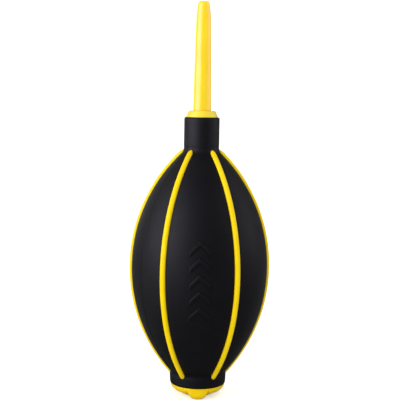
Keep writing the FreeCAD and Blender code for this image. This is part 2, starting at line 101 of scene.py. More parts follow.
# The planes of the front and back ribs stand at RIB_PLANE degrees and run RIB_ASIDE mm beside
# the axis; RIB_FRONT is where such a rib is on the widest place.
RIB_PLANE = 30.15
RIB_ASIDE = 0.8
RIB_FRONT = RIB_PLANE + math.degrees(math.asin(RIB_ASIDE / BODY_R))
RIB_AZ = [RIB_FRONT - 180, -90, -RIB_FRONT, RIB_FRONT, 90, 180 - RIB_FRONT]

# the mould's parting line, counted from the side ribs
PARTING_TURN = 33
PARTING_AZ = [-90 + PARTING_TURN, 90 + PARTING_TURN]


# ---------------------------------------------------------------- mesh helpers
def make_piece(name, verts, faces, material, crease):
    """A smooth-shaded mesh object with edges sharper than crease degrees kept sharp."""
    mesh = bpy.data.meshes.new(name)
    mesh.from_pydata([tuple(v) for v in verts], [], faces)
    bm = bmesh.new()
    bm.from_mesh(mesh)
    bmesh.ops.recalc_face_normals(bm, faces=bm.faces)
    bm.to_mesh(mesh)
    bm.free()
    mesh.shade_smooth()
    mesh.set_sharp_from_angle(angle=math.radians(crease))
    obj = bpy.data.objects.new(name, mesh)
    bpy.context.scene.collection.objects.link(obj)
    mesh.materials.append(material)
    return obj


def show(piece, node, body=None):
    """Puts the piece in the place of a node of the frame, on a body if it rides on just one."""
    if body:
        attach(piece, body)
    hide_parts(node)


def polar(radius, azimuth, height):
    """Place in metres, from mm and an azimuth in radians."""
    return (radius * math.sin(azimuth) * MM, -radius * math.cos(azimuth) * MM, height * MM)


def full_turn(count):
    return [2 * math.pi * k / count for k in range(count)]


def join_rings(rings, closed=False):
    """Faces between neighbouring rings of vertex numbers. A ring of one vertex is a pole."""
    pairs = list(zip(rings, rings[1:]))
    if closed:
        pairs.append((rings[-1], rings[0]))
    faces = []
    for ring, after in pairs:
        if len(ring) == 1 and len(after) == 1:
            continue
        count = max(len(ring), len(after))
        for k in range(count):
            n = (k + 1) % count
            if len(ring) == 1:
                faces.append((ring[0], after[n], after[k]))
            elif len(after) == 1:
                faces.append((ring[k], ring[n], after[0]))
            else:
                faces.append((ring[k], ring[n], after[n], after[k]))
    return faces


def outline(corners, turn=12):
    """Closed outline from (r, z, corner radius), each corner rounded by its own radius in steps
    of about turn degrees. A rounding takes at most half of the sides beside it."""
    points = []
    count = len(corners)
    for i, (r, z, fillet) in enumerate(corners):
        here = np.array((r, z), float)
        to_a = np.array(corners[i - 1][:2], float) - here
        to_b = np.array(corners[(i + 1) % count][:2], float) - here
        len_a = np.linalg.norm(to_a)
        len_b = np.linalg.norm(to_b)
        to_a /= len_a
        to_b /= len_b
        half = math.acos(max(-1.0, min(1.0, float(to_a @ to_b)))) / 2
        nearly_straight = half > math.radians(89.5)
        if fillet <= 0 or nearly_straight:
            points.append(tuple(here))
            continue
        cut = min(fillet / math.tan(half), 0.49 * len_a, 0.49 * len_b)
        radius = cut * math.tan(half)
        middle = to_a + to_b
        middle /= np.linalg.norm(middle)
        centre = here + middle * radius / math.sin(half)
        first = here + to_a * cut - centre
        last = here + to_b * cut - centre
        a = math.atan2(first[1], first[0])
        b = math.atan2(last[1], last[0])
        sweep = (b - a + math.pi) % (2 * math.pi) - math.pi
        steps = max(2, int(math.ceil(abs(sweep) / math.radians(turn))))
        for k in range(steps + 1):
            t = a + sweep * k / steps
            points.append((centre[0] + radius * math.cos(t), centre[1] + radius * math.sin(t)))
    return points


def split_long(points, step):
    """The closed outline with its long stretches cut into pieces of about step mm."""
    result = []
    count = len(points)
    for i, p in enumerate(points):
        q = points[(i + 1) % count]
        pieces = max(1, int(round(math.dist(p, q) / step)))
        for k in range(pieces):
            t = k / pieces
            result.append((p[0] + (q[0] - p[0]) * t, p[1] + (q[1] - p[1]) * t))
    return result


def turned(name, points, material, segments=144, crease=32, azimuths=None, swell=None):
    """Solid of revolution from a closed (r, z) outline. azimuths(r) gives the columns if they
    aren't evenly spread. swell(azimuth, r, z) adds to r."""
    verts = []
    rings = []
    for r, z in points:
        if r < TINY:
            verts.append((0.0, 0.0, z * MM))
            rings.append([len(verts) - 1])
            continue
        ring = []
        for a in azimuths(r) if azimuths else full_turn(segments):
            extra = swell(a, r, z) if swell else 0.0
            verts.append(polar(r + extra, a, z))
            ring.append(len(verts) - 1)
        rings.append(ring)
    return make_piece(name, verts, join_rings(rings, closed=True), material, crease)


def smooth_curve(knots, steps):
    """Points of a Catmull-Rom curve through the knots, with this many steps between two knots."""
    k = [np.array(p, float) for p in knots]
    k = [2 * k[0] - k[1]] + k + [2 * k[-1] - k[-2]]
    points = []
    for i in range(1, len(k) - 2):
        slope = k[i + 1] - k[i - 1]
        bend = 2 * k[i - 1] - 5 * k[i] + 4 * k[i + 1] - k[i + 2]
        twist = 3 * k[i] - k[i - 1] - 3 * k[i + 1] + k[i + 2]
        for s in range(steps):
            t = s / steps
            points.append(tuple(0.5 * (2 * k[i] + slope * t + bend * t * t + twist * t ** 3)))
    points.append(tuple(k[-2]))
    return points


# ---------------------------------------------------------------- materials
class Surface:
    """A Principled material with short calls for its procedural inputs."""

    def __init__(self, name):
        self.material = bpy.data.materials.new(name)
        self.material.use_nodes = True
        self.tree = self.material.node_tree
        self.tree.nodes.clear()
        out = self.add("ShaderNodeOutputMaterial")
        self.bsdf = self.add("ShaderNodeBsdfPrincipled")
        self.link(self.bsdf.outputs["BSDF"], out.inputs["Surface"])
        self.coords = self.add("ShaderNodeTexCoord").outputs["Object"]
        self.normal = None

    def add(self, kind):
        return self.tree.nodes.new(kind)

    def link(self, source, target):
        self.tree.links.new(source, target)

    def set(self, **values):
        """Fixed inputs of the shader: Specular_Tint=... sets "Specular Tint"."""
        for key, value in values.items():
            self.bsdf.inputs[key.replace("_", " ")].default_value = value

    def drive(self, name, source):
        self.link(source, self.bsdf.inputs[name])

    def noise(self, feature_mm, detail, rough=0.55, stretch=(1, 1, 1)):
        mapping = self.add("ShaderNodeMapping")
        mapping.inputs["Scale"].default_value = stretch
        self.link(self.coords, mapping.inputs["Vector"])
        node = self.add("ShaderNodeTexNoise")
        node.inputs["Scale"].default_value = 1 / (feature_mm * MM)
        node.inputs["Detail"].default_value = detail
        node.inputs["Roughness"].default_value = rough
        self.link(mapping.outputs["Vector"], node.inputs["Vector"])
        return node.outputs["Fac"]

    def cells(self, feature_mm):
        """Distance from the middles of random cells."""
        node = self.add("ShaderNodeTexVoronoi")
        node.inputs["Scale"].default_value = 1 / (feature_mm * MM)
        self.link(self.coords, node.inputs["Vector"])
        return node.outputs["Distance"]

    def ramp(self, source, low_in, high_in, low_out=0.0, high_out=1.0):
        """The source's range from low_in to high_in, spread over low_out to high_out."""
        node = self.add("ShaderNodeMapRange")
        node.inputs["From Min"].default_value = low_in
        node.inputs["From Max"].default_value = high_in
        node.inputs["To Min"].default_value = low_out
        node.inputs["To Max"].default_value = high_out
        self.link(source, node.inputs["Value"])
        return node.outputs["Result"]

    def calculate(self, operation, *values):
        """Result of a Math node on sockets and plain numbers."""
        node = self.add("ShaderNodeMath")
        node.operation = operation
        for value, socket in zip(values, node.inputs):
            if isinstance(value, float):
                socket.default_value = value
            else:
                self.link(value, socket)
        return node.outputs["Value"]

    def mix(self, factor, first, second):
        """From the first colour at 0 to the second at 1."""
        node = self.add("ShaderNodeMix")
        node.data_type = "RGBA"
        self.link(factor, node.inputs["Factor"])
        for value, socket in ((first, node.inputs["A"]), (second, node.inputs["B"])):
            if isinstance(value, tuple):
                socket.default_value = value + (1.0,)
            else:
                self.link(value, socket)
        return node.outputs["Result"]

    def corners(self, reach_mm):
        """1 in open places, falling to 0 in creases."""
        node = self.add("ShaderNodeAmbientOcclusion")
        node.samples = 8
        node.inputs["Distance"].default_value = reach_mm * MM
        return node.outputs["AO"]

    def mottled(self, feature_mm, detail, dark, light):
        """A colour that drifts between two tones in soft patches."""
        return self.mix(self.ramp(self.noise(feature_mm, detail), 0.35, 0.65), dark, light)

    def varied(self, feature_mm, detail, low_out, high_out, rough=0.55):
        """A value that drifts between two others."""
        return self.ramp(self.noise(feature_mm, detail, rough), 0.3, 0.7, low_out, high_out)

    def shaded(self, tone, painted_shade_tone, reach_mm, closed, clear):
        """The tone, going over to another one in creases: painted shade."""
        return self.mix(self.ramp(self.corners(reach_mm), closed, clear), painted_shade_tone, tone)

    def bump(self, source, height_mm, strength):
        """Adds a relief to those already there."""
        node = self.add("ShaderNodeBump")
        node.inputs["Strength"].default_value = strength
        node.inputs["Distance"].default_value = height_mm * MM
        self.link(source, node.inputs["Height"])
        if self.normal is not None:
            self.link(self.normal, node.inputs["Normal"])
        self.normal = node.outputs["Normal"]

    def done(self, color, roughness):
        self.drive("Base Color", color)
        self.drive("Roughness", roughness)
        self.drive("Normal", self.normal)
        return self.material


def black_silicone():
    """Matt on the bulb, with a trace of dust. Its reflection is raised towards the neck as a
    painted sheen and weakened in creases as painted shade.
    """
    s = Surface("black_silicone")
    tone = s.mottled(28, 4, (0.0036, 0.0035, 0.0048), (0.0047, 0.0046, 0.0060))
    specks = s.ramp(s.cells(2.6), 0.0, 0.035, 1.0, 0.0)
    dusty = s.ramp(s.noise(11, 2), 0.52, 0.62)
    dust = s.calculate("MULTIPLY", specks, dusty)
    tone = s.mix(s.ramp(dust, 0, 1, 0, 0.03), tone, (0.30, 0.29, 0.27))
    rough = s.varied(17, 5, 0.46, 0.56, 0.6)
    s.bump(s.noise(0.55, 4, 0.6), 0.012, 0.5)
    s.bump(s.noise(7.5, 2), 0.08, 0.12)
    place = s.add("ShaderNodeSeparateXYZ")
    s.link(s.coords, place.inputs[0])
    # reflection strength rising towards the neck: a painted sheen that brightens the neck's
    # highlight
    neck_from = 113 * MM
    neck_to = 119 * MM
    painted_neck_sheen = s.ramp(place.outputs["Z"], neck_from, neck_to, 0.21, 0.30)
    # reflection weakened in creases by an occlusion mask: painted shade
    painted_crease_shade = s.ramp(s.corners(0.6), 0.35, 0.9, 0.25, 1.0)
    s.drive("Specular IOR Level", s.calculate("MULTIPLY", painted_neck_sheen, painted_crease_shade))
    s.set(IOR=1.40, Specular_Tint=(0.86, 0.85, 1.0, 1.0))
    return s.done(tone, rough)


def yellow_silicone():
    s = Surface("yellow_silicone")
    tone = s.mottled(9, 3, (0.91, 0.632, 0.0010), (0.96, 0.684, 0.0025))
    # painted shade: the yellow goes darker in creases, such as where the ribs meet the wall
    tone = s.shaded(tone, (0.62, 0.36, 0.006), 0.9, 0.25, 0.85)
    rough = s.varied(3.2, 4, 0.36, 0.47)
    s.bump(s.noise(0.4, 3), 0.010, 0.5)
    s.bump(s.noise(2.8, 2), 0.05, 0.2)
    s.set(IOR=1.40, Specular_IOR_Level=0.22, Specular_Tint=(1.0, 0.95, 0.5, 1.0))
    s.set(Subsurface_Weight=0.10, Subsurface_Scale=1.0 * MM, Subsurface_Radius=(1.0, 0.55, 0.08))
    return s.done(tone, rough)


def nozzle_plastic():
    """Glossy and slightly see-through, with a painted glow: emission, stronger towards the flanks,
    stands in for light that has passed through it.
    """
    s = Surface("nozzle_plastic")
    along = (1, 1, 0.2)
    tone = s.mottled(14, 2, (0.955, 0.642, 0.005), (0.985, 0.690, 0.010))
    rough = s.ramp(s.noise(5, 5, 0.65, along), 0.3, 0.75, 0.13, 0.24)
    s.bump(s.noise(2.2, 3, stretch=(1, 1, 0.12)), 0.02, 0.25)
    edge = s.add("ShaderNodeLayerWeight")
    edge.inputs["Blend"].default_value = 0.5
    # painted glow: the plastic emits a yellow light, more at its flanks than facing the camera
    s.drive("Emission Strength", s.ramp(edge.outputs["Facing"], 0.35, 1.0, 0.09, 0.34))
    s.set(Emission_Color=(1.0, 0.66, 0.02, 1.0))
    s.set(IOR=1.49, Specular_IOR_Level=0.75, Specular_Tint=(0.9, 0.3, 1.0, 1.0))
    s.set(Subsurface_Weight=0.55, Subsurface_Scale=4.0 * MM, Subsurface_Radius=(1.0, 0.62, 0.10))
    return s.done(tone, rough)


def bush_plastic():
    s = Surface("bush_plastic")
    tone = s.mottled(6, 3, (0.86, 0.650, 0.019), (0.91, 0.705, 0.032))
    # painted shade: the yellow goes darker in creases
    tone = s.shaded(tone, (0.60, 0.38, 0.012), 0.8, 0.25, 0.8)
    rough = s.varied(2.5, 4, 0.30, 0.42)
    s.bump(s.noise(0.5, 3), 0.008, 0.5)
    s.set(IOR=1.47, Subsurface_Weight=0.15, Subsurface_Scale=1.5 * MM)
    s.set(Subsurface_Radius=(1.0, 0.6, 0.1))
    return s.done(tone, rough)


def cap_plastic():
    """Satin, rougher where it has been scuffed."""
    s = Surface("cap_plastic")
    tone = s.mottled(8, 3, (0.89, 0.595, 0.001), (0.93, 0.65, 0.003))
    # painted shade: the yellow goes darker in creases
    tone = s.shaded(tone, (0.55, 0.32, 0.006), 1.2, 0.2, 0.85)
    scuff = s.ramp(s.noise(1.1, 5, 0.7, (1, 1, 3)), 0.58, 0.72)
    scuff_rough = 0.14
    rough = s.calculate("MULTIPLY_ADD", scuff, scuff_rough, s.varied(4, 4, 0.26, 0.38))
    s.bump(s.noise(0.45, 3), 0.008, 0.5)
    s.set(IOR=1.48, Specular_IOR_Level=0.22, Specular_Tint=(1.0, 0.88, 0.5, 1.0))
    s.set(Subsurface_Weight=0.12, Subsurface_Scale=1.4 * MM, Subsurface_Radius=(1.0, 0.55, 0.08))
    return s.done(tone, rough)


def moulded(name, dark, light, rough_low, rough_high, grain=0.4):
    """A plain moulded part with a fine grain."""
    s = Surface(name)
    tone = s.mottled(5, 3, dark, light)
    rough = s.varied(2.0, 4, rough_low, rough_high)
    s.bump(s.noise(grain, 3), 0.01, 0.6)
    return s.done(tone, rough)


def foam():
    s = Surface("filter_foam_cells")
    pores = s.ramp(s.cells(0.55), 0.05, 0.42)
    tone = s.mix(pores, (0.012, 0.012, 0.013), (0.085, 0.085, 0.09))
    s.bump(pores, 0.25, 1.0)
    s.bump(s.noise(0.3, 4), 0.06, 0.8)
    return s.done(tone, s.varied(1.0, 3, 0.85, 0.95))


def floor_paper():
    """Pale paper, lifted towards white for the camera and darker in reflections and bounces."""
    s = Surface("floor_paper")
    shadow = (0.02, 0.02, 0.02)
    ray = s.add("ShaderNodeLightPath")
    tone = s.mottled(160, 3, (0.86, 0.86, 0.86), (0.89, 0.89, 0.89))
    tone = s.mix(s.ramp(ray.outputs["Is Glossy Ray"], 0, 1, 0.0, 0.76), tone, shadow)
    tone = s.mix(s.ramp(ray.outputs["Is Diffuse Ray"], 0, 1, 0.0, 0.18), tone, shadow)
    s.bump(s.noise(1.2, 4), 0.02, 0.2)
    s.set(Specular_IOR_Level=0.1, Emission_Color=(1, 1, 1, 1))
    s.drive("Emission Strength", s.ramp(ray.outputs["Is Camera Ray"], 0, 1, 0.0, 0.50))
    return s.done(tone, s.varied(40, 3, 0.75, 0.85))


BLACK = black_silicone()
YELLOW = yellow_silicone()
NOZZLE = nozzle_plastic()
BUSH = bush_plastic()
CAP = cap_plastic()
HOUSING = moulded("housing_plastic", (0.030, 0.030, 0.033), (0.045, 0.045, 0.049), 0.32, 0.45)
CLEAR_RUBBER = moulded("valve_silicone", (0.60, 0.61, 0.60), (0.72, 0.72, 0.70), 0.35, 0.45)
GRID = moulded("mesh_plastic", (0.62, 0.62, 0.60), (0.74, 0.74, 0.71), 0.35, 0.5, 0.25)
SEAL = moulded("seal_rubber", (0.012, 0.012, 0.012), (0.022, 0.022, 0.022), 0.30, 0.42, 0.3)
FOAM = foam()

# ---------------------------------------------------------------- bulb shell
# Four meshes: the front and the back half, and the base ring and the neck, which ride on the base.
# The halves meet under the side ribs, and the ring and the neck at split circles.

# Distances of the meshes' columns from the middle of a rib and of the parting line, in mm, and
# the degrees between the columns elsewhere. Beside the ends of the ribs, the columns keep at
# least the share NARROWEST of their distances.
RIB_STEPS = [0.0, 0.5, 0.9, 1.15, 1.28, 1.34, 1.42, 1.54, 1.8, 2.3]
SEAM_STEPS = [0.0, 0.07, 0.15, 0.25, 0.4]
HALF_COLUMN = 1.6
RING_COLUMN = 2.0
NARROWEST = 0.14

# the bed of a rib: a round channel and the lip that turns in towards it, both gone at the share
# BED_END of the drawn-out end
CHANNEL_R = CORD_R + 0.02
LIP_DEPTH = CORD_SINK - 0.02
LIP_WIDTH = 0.16
BED_END = 0.5

# the parting line's groove, which keeps the share OUTER_PARTING of its depth on ring and neck
PARTING_DEPTH = 0.29
PARTING_WIDTH = 0.17
OUTER_PARTING = 0.7


def arc_point(lean, radius):
    return (AXIS_R + radius * math.cos(lean), MID_Z + radius * math.sin(lean))


def arc_radius(arc, z):
    """Distance from the axis of an arc about the side's centre, at height z."""
    return AXIS_R + math.sqrt(arc ** 2 - (z - MID_Z) ** 2)


def arc_reach(radius):
    """How far above and below the middle the inner wall is this far from the axis."""
    return math.sqrt((ARC_R - WALL) ** 2 - (radius - AXIS_R) ** 2)


def rib_turn(azimuth, radius):
    """A rib's azimuth, in radians, at this radius: the front and back ribs' planes run beside
    the axis, so that they stand further apart where the bulb is narrow. The planes of the side
    ribs go through the axis."""
    extra = math.asin(RIB_ASIDE / radius) - math.asin(RIB_ASIDE / BODY_R)
    side = math.sin(math.radians(2 * azimuth))
    if abs(side) < 0.1:
        return math.radians(azimuth)
    return math.radians(azimuth) + math.copysign(extra, side)


def surface_gap(azimuth, radius, centre):
    """Distance along the surface, in mm, between two azimuths in radians."""
    return abs((azimuth - centre + math.pi) % (2 * math.pi) - math.pi) * radius


def spread(stops, radius, step):
    """Azimuths at this radius, in radians: fixed distances round every stop, and about step
    degrees in between. A stop is (azimuth, distances before it, distances after, is it a rib)."""
    groups = []
    for azimuth, before, after, rib in stops:
        centre = rib_turn(azimuth, radius) if rib else math.radians(azimuth)
        marks = [centre - d / radius for d in reversed(before) if d > 0]
        marks.append(centre)
        marks += [centre + d / radius for d in after if d > 0]
        groups.append(marks)
    result = []
    for i, marks in enumerate(groups):
        result += marks
        if i + 1 < len(groups):
            count = max(2, int(round((stops[i + 1][0] - stops[i][0]) / step)))
            a = marks[-1]
            b = groups[i + 1][0]
            result += [a + (b - a) * k / count for k in range(1, count)]
    return result


def parting_line(azimuth, radius):
    """Depth of the fine groove where the halves of the mould met."""
    gap = min(surface_gap(azimuth, radius, math.radians(a)) for a in PARTING_AZ)
    return PARTING_DEPTH * math.exp(-((gap / PARTING_WIDTH) ** 2))


def past_end(lean):
    """How far a place is past the straight part of the cords, as a share of the drawn-out end."""
    if lean > CORD_HIGH:
        return (lean - CORD_HIGH) * ARC_R / CORD_HEAD
    return max(0.0, (CORD_LOW - lean) * ARC_R / CORD_FOOT)


def rib_bed(azimuth, radius, lean):
    """Depth cut into the shell for the ribs: a round channel with a softly turned-in lip."""
    across = min(surface_gap(azimuth, radius, rib_turn(a, radius)) for a in RIB_AZ)
    end = past_end(lean)
    gap = math.hypot(across, end * CHANNEL_R)
    fade = max(0.0, 1 - end / BED_END)
    if gap < CHANNEL_R:
        return fade * (CORD_SINK + math.sqrt(CHANNEL_R ** 2 - gap ** 2))
    return fade * LIP_DEPTH * math.exp(-(((gap - CHANNEL_R) / LIP_WIDTH) ** 1.5))


FILLET_R = NECK_LOW_R + NECK_FILLET
FILLET_Z = MID_Z + math.sqrt((ARC_R + NECK_FILLET) ** 2 - (FILLET_R - AXIS_R) ** 2)
FILLET_LEAN = math.atan2(FILLET_Z - MID_Z, FILLET_R - AXIS_R)
SPLIT_R = 14.6
SPLIT_LEAN = -math.acos((SPLIT_R - AXIS_R) / ARC_R)
NECK_SPLIT = FILLET_Z + 0.3
CAVITY_LOW = MID_Z - arc_reach(BASE_BORE)
CAVITY_HIGH = MID_Z + arc_reach(NECK_BORE)


def half_stops(first, lean):
    """Stops of half the shell, from the side rib at azimuth first. The columns beside a rib draw
    together where its end narrows. The inside has no lean and no ribs."""
    girth = 1.0
    if lean is not None:
        girth = max(NARROWEST, math.sqrt(max(0.0, 1 - past_end(lean) ** 2)))
    full = [d * girth for d in RIB_STEPS]
    return [
        (first, [], full, True),
        (first + PARTING_TURN, SEAM_STEPS, SEAM_STEPS, False),
        (first + 90 - RIB_FRONT, full, full, True),
        (first + 90 + RIB_FRONT, full, full, True),
        (first + 180, full, [], True),
    ]


def close_side(outer, inner):
    """Triangles between two lines of vertices of unlike count."""
    faces = []
    i = j = 0
    while i < len(outer) - 1 or j < len(inner) - 1:
        outer_share = (i + 1) / (len(outer) - 1) if i < len(outer) - 1 else math.inf
        inner_share = (j + 1) / (len(inner) - 1) if j < len(inner) - 1 else math.inf
        if outer_share <= inner_share:
            faces.append((outer[i], outer[i + 1], inner[j]))
            i += 1
        else:
            faces.append((outer[i], inner[j + 1], inner[j]))
            j += 1
    return faces


def shell_half(name, first, rows=230, fillet_rows=12, inner_rows=60):
    """Closed C-shaped wall between two side ribs, from the base ring to the neck."""
    outer = []
    for k in range(rows + 1):
        lean = SPLIT_LEAN + (FILLET_LEAN - SPLIT_LEAN) * k / rows
        outer.append(arc_point(lean, ARC_R) + (lean,))
    for k in range(1, fillet_rows + 1):
        t = math.pi + FILLET_LEAN * (1 - k / fillet_rows)
        r = FILLET_R + NECK_FILLET * math.cos(t)
        z = FILLET_Z + NECK_FILLET * math.sin(t)
        outer.append((r, z, math.atan2(z - MID_Z, r - AXIS_R)))
    above_all_ribs = math.pi / 2
    outer.append((NECK_LOW_R, NECK_SPLIT, above_all_ribs))
    inner = []
    for k in range(inner_rows + 1):
        z = CAVITY_HIGH + (CAVITY_LOW - CAVITY_HIGH) * k / inner_rows
        inner.append((arc_radius(ARC_R - WALL, z), z, None))
    verts = []
    grid = []
    for r, z, lean in outer + inner:
        row = []
        for a in spread(half_stops(first, lean), r, HALF_COLUMN):
            depth = 0.0
            if lean is not None:
                depth = parting_line(a, r) + rib_bed(a, r, lean)
            verts.append(polar(r - depth, a, z))
            row.append(len(verts) - 1)
        grid.append(row)
    faces = []
    count = len(grid)
    width = len(grid[0])
    for i in range(count):
        after = (i + 1) % count
        for k in range(width - 1):
            faces.append((grid[i][k], grid[i][k + 1], grid[after][k + 1], grid[after][k]))
    for side in (0, width - 1):
        column = [row[side] for row in grid]
        faces += close_side(column[:len(outer)], column[len(outer):][::-1])
    return make_piece(name, verts, faces, BLACK, crease=40)


def squeeze(obj):
    """Bakes the piece's placement into its mesh."""
    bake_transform(obj)


def ring_azimuths(r):
    """Columns of the base ring and of the neck, closer together at the parting line."""
    stops = [
        (PARTING_AZ[0], [], SEAM_STEPS, False),
        (PARTING_AZ[1], SEAM_STEPS, SEAM_STEPS, False),
        (PARTING_AZ[0] + 360, SEAM_STEPS, [], False),
    ]
    return spread(stops, r, RING_COLUMN)[:-1]


def outer_line(limit):
    """The parting line, shallower, on what lies further out than limit."""
    def swell(azimuth, r, z):
        return -OUTER_PARTING * parting_line(azimuth, r) if r > limit else 0.0

    return swell


front_half = shell_half("shell_front", -90)
back_half = shell_half("shell_back", 90)
squeeze(front_half)
squeeze(back_half)

ring_outline = outline(
    [
        (BASE_BORE, RING_Z, 0.15),
        (12.86, RING_Z, 0.45),
        (13.04, 6.5, 1.0),
        (13.22, 9.9, 2.5),
        (12.99, 11.5, 1.7),
        arc_point(SPLIT_LEAN, ARC_R) + (0,),
        (BASE_BORE, CAVITY_LOW, 0),
    ]
)
shell_ring = turned(
    "shell_base_ring", split_long(ring_outline, 0.8), BLACK,
    crease=35, azimuths=ring_azimuths, swell=outer_line(12.0),
)
neck_outline = outline(
    [
        (NECK_BORE, CAVITY_HIGH, 0),
        (NECK_LOW_R, NECK_SPLIT, 0),
        (NECK_R, NECK_BLEND_Z, 8),
        (NECK_R, NECK_TOP, 0.65),
        (NECK_BORE, NECK_TOP, 0.15),
    ]
)
shell_neck = turned(
    "shell_neck", split_long(neck_outline, 0.8), BLACK,
    crease=35, azimuths=ring_azimuths, swell=outer_line(7.0),
)
for piece in (front_half, back_half):
    show(piece, "bulb_shell")
for piece in (shell_ring, shell_neck):
    show(piece, "bulb_shell", "base")


# ---------------------------------------------------------------- ribs
def cord(name, plane, aside, segments=28, rows=150, cap_rows=10):
    """Cord in the upright plane at this azimuth, moved sideways by aside times RIB_ASIDE."""
    a = math.radians(plane)
    side = Vector((math.cos(a), math.sin(a), 0))
    out = Vector((math.sin(a), -math.cos(a), 0))
    up = Vector((0, 0, 1))
    # stations along the cord: lean, distance past the straight part, share of the full girth
    stations = []
    for k in range(cap_rows, 0, -1):
        t = math.pi / 2 * k / cap_rows
        stations.append((CORD_LOW, -math.sin(t) * CORD_FOOT, math.cos(t)))
    for k in range(rows + 1):
        stations.append((CORD_LOW + (CORD_HIGH - CORD_LOW) * k / rows, 0.0, 1.0))
    for k in range(1, cap_rows + 1):
        t = math.pi / 2 * k / cap_rows
        stations.append((CORD_HIGH, math.sin(t) * CORD_HEAD, math.cos(t)))
    verts = []
    rings = []
    for lean, along, girth in stations:
        r, z = arc_point(lean, ARC_R - CORD_SINK)
        normal = out * math.cos(lean) + up * math.sin(lean)
        tangent = -out * math.sin(lean) + up * math.cos(lean)
        centre = out * r + up * z + tangent * along + side * (aside * RIB_ASIDE)
        if girth < TINY:
            verts.append(centre * MM)
            rings.append([len(verts) - 1])
            continue
        ring = []
        for t in full_turn(segments):
            p = centre + (normal * math.cos(t) + side * math.sin(t)) * (CORD_R * girth)
            verts.append(p * MM)
            ring.append(len(verts) - 1)
        rings.append(ring)
    return make_piece(name, verts, join_rings(rings), YELLOW, crease=60)


for node, plane, aside in (
    ("rib_front_left", -RIB_PLANE, -1),
    ("rib_front_right", RIB_PLANE, 1),
    ("rib_left", -90, 0),
    ("rib_right", 90, 0),
    ("rib_back_left", RIB_PLANE - 180, 1),
    ("rib_back_right", 180 - RIB_PLANE, -1),
):
    piece = cord(node.replace("rib", "cord"), plane, aside)
    show(piece, node)
    if "front" in node:
        squeeze(piece)
    elif "back" in node:
        squeeze(piece)
    else:
        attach(piece, "base")


# ---------------------------------------------------------------- raised chevrons on the front
# The lowest one's arms end just above CHEVRON_Z. DROP is the fall of an arm from a sharp point,
# POINT and CORNER are the rounding of the point and of the edges, ROOT is the depth in the wall,
# and SINK lowers the surface, so that its rim lies just under the wall's.
CHEVRONS = 5
CHEVRON_Z = 40.2
CHEVRON_PITCH = 7.4
CHEVRON_HALF_W = 4.9
CHEVRON_DROP = 5.0
CHEVRON_THICK = 2.6
CHEVRON_RISE = 0.61
CHEVRON_CORNER = 0.5
CHEVRON_POINT = 0.45
CHEVRON_ROOT = 1.1
CHEVRON_SINK = 0.02


def soft_corner(distance):
    """Share of the full height at this distance from an edge that is rounded."""
    inward = 1 - min(1.0, distance / CHEVRON_CORNER)
    return math.sqrt(max(0.0, 1 - inward ** 2))


def chevron(name, low_z, along=48):
    """Raised mark that points up, with its lower surface sunk in the wall."""
    # places across an arm, from its lower to its upper edge
    across = [-1.0, -0.97, -0.9, -0.78, -0.62, -0.3, 0.3, 0.62, 0.78, 0.9, 0.97, 1.0]
    middle_z = low_z + CHEVRON_DROP
    verts = []
    top = []
    for i in range(along + 1):
        t = -1 + 2 * i / along
        x = CHEVRON_HALF_W * t
        fall = math.sqrt((abs(t) * CHEVRON_DROP) ** 2 + CHEVRON_POINT ** 2) - CHEVRON_POINT
        pinch = soft_corner((1 - abs(t)) * CHEVRON_HALF_W)
        half = CHEVRON_THICK / 2 - CHEVRON_CORNER * (1 - pinch)
        row = []
        for v in across:
            z = middle_z - fall + CHEVRON_THICK / 2 + v * half
            rise = CHEVRON_RISE * min(soft_corner((1 - abs(v)) * half), pinch)
            radius = arc_radius(ARC_R, z) + rise - CHEVRON_SINK
            y = -math.sqrt(radius ** 2 - x ** 2)
            verts.append((x * MM, y * MM, z * MM))
            row.append(len(verts) - 1)
        top.append(row)
    bottom = []
    for row in top:
        under = []
        for index in row:
            x, y, z = verts[index]
            verts.append((x, y + CHEVRON_ROOT * MM, z))
            under.append(len(verts) - 1)
        bottom.append(under)
    faces = []
    width = len(across)
    for i in range(along):
        for k in range(width - 1):
            faces.append((top[i][k], top[i + 1][k], top[i + 1][k + 1], top[i][k + 1]))
            faces.append((bottom[i][k], bottom[i][k + 1], bottom[i + 1][k + 1], bottom[i + 1][k]))
        for k in (0, width - 1):
            faces.append((top[i][k], bottom[i][k], bottom[i + 1][k], top[i + 1][k]))
    for i in (0, along):
        for k in range(width - 1):
            faces.append((top[i][k], top[i][k + 1], bottom[i][k + 1], bottom[i][k]))
    return make_piece(name, verts, faces, BLACK, crease=50)


for step in range(CHEVRONS):
    piece = chevron("chevron_%d" % (step + 1), CHEVRON_Z + CHEVRON_PITCH * step)
    squeeze(piece)

# ---------------------------------------------------------------- collar and nozzle
PLUG_R = 5.6
BARB_R = 5.95
BARB_TOPS = (2.9, 7.1)
SOCKET_R = 4.19
SEAT_R = 2.9
SEAT_Z = PLUG_Z + 1.4
COLLAR_Z = NECK_TOP + 0.02
SHANK_R = 4.15
NOZZLE_BORE = 2.5
NOZZLE_BORE_TOP = 153.7
ORIFICE_R = 1.1
ORIFICE_Z = TIP_Z - 6.15

bush_corners = [
    (SEAT_R, PLUG_Z, 0.15),
    (5.15, PLUG_Z, 0.2),
    (PLUG_R, PLUG_Z + 0.9, 0.2),
    (PLUG_R, PLUG_Z + 1.8, 0),
]
for barb in BARB_TOPS:
    bush_corners += [
        (BARB_R, PLUG_Z + barb, 0.1),
        (BARB_R, PLUG_Z + barb + 0.4, 0.1),
        (PLUG_R, PLUG_Z + barb + 0.6, 0),
    ]
bush_corners += [
    (PLUG_R, COLLAR_Z, 0),
    (7.3, COLLAR_Z, 0.12),
    (7.26, NECK_TOP + 0.4, 0.4),
    (6.1, COLLAR_TOP, 0.5),
    (SOCKET_R, COLLAR_TOP, 0.3),
    (SOCKET_R, SEAT_Z, 0.1),
    (SEAT_R, SEAT_Z, 0.1),
]
collar = turned("collar_bush", split_long(outline(bush_corners), 1.5), BUSH, crease=30)
show(collar, "neck_bush", "base")

